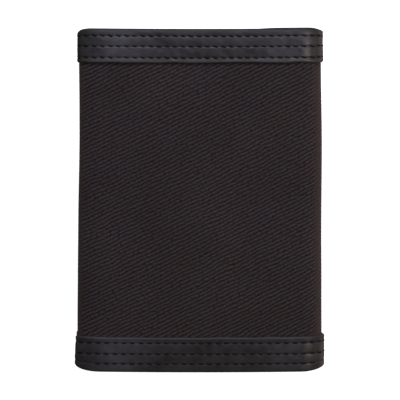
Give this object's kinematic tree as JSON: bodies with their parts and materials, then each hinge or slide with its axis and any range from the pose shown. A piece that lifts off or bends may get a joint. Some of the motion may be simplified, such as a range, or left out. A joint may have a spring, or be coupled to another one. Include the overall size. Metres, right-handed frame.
{
  "type": "bifold wallet",
  "caption": "Tall bifold wallet in dark canvas with stitched leather bands, card pockets, an identity window and a full-length banknote compartment; it opens flat at a folding spine.",
  "frame": {"origin": "centre of the closed wallet's footprint, on the surface that it lies on", "axes": "+X from the free edge to the spine, +Y from the foot to the open head of the banknote compartment, +Z from the back cover to the front cover"},
  "size_m": [0.094, 0.13, 0.016],
  "materials": {
    "waxed_canvas": "dry waxed twill",
    "black_leather": "soft matt grain",
    "lining_cloth": "plain weave nylon",
    "clear_film": "clear flexible film"
  },
  "bodies": {
    "back_cover": {"back_canvas_panel": "waxed_canvas", "back_foot_band": "black_leather", "back_head_band": "black_leather", "back_lining": "lining_cloth", "back_note_divider": "lining_cloth", "back_inner_wall": "waxed_canvas", "back_card_pocket_1": "black_leather", "back_card_pocket_2": "black_leather", "back_card_pocket_3": "black_leather", "back_card_pocket_4": "black_leather"},
    "spine": {"spine_canvas_panel": "waxed_canvas", "spine_foot_band": "black_leather", "spine_head_band": "black_leather", "spine_lining": "lining_cloth", "spine_note_divider": "lining_cloth", "spine_inner_wall": "waxed_canvas"},
    "front_cover": {"front_canvas_panel": "waxed_canvas", "front_foot_band": "black_leather", "front_head_band": "black_leather", "front_lining": "lining_cloth", "front_note_divider": "lining_cloth", "front_inner_wall": "waxed_canvas", "front_slip_pocket": "black_leather", "front_card_pocket": "black_leather", "front_window_film": "clear_film", "front_window_frame": "black_leather"}
  },
  "joints": [
    {"name": "back_fold", "type": "hinge", "parent": "back_cover", "child": "spine", "pos_m": [0.0433, 0, 0.0037], "axis": [0, 1, 0], "range_deg": [0, 90]},
    {"name": "front_fold", "type": "hinge", "parent": "spine", "child": "front_cover", "pos_m": [0.0433, 0, 0.0123], "axis": [0, 1, 0], "range_deg": [0, 90]}
  ],
  "couplings": [
    {"joint": "front_fold", "follows": "back_fold", "ratio": 1}
  ]
}
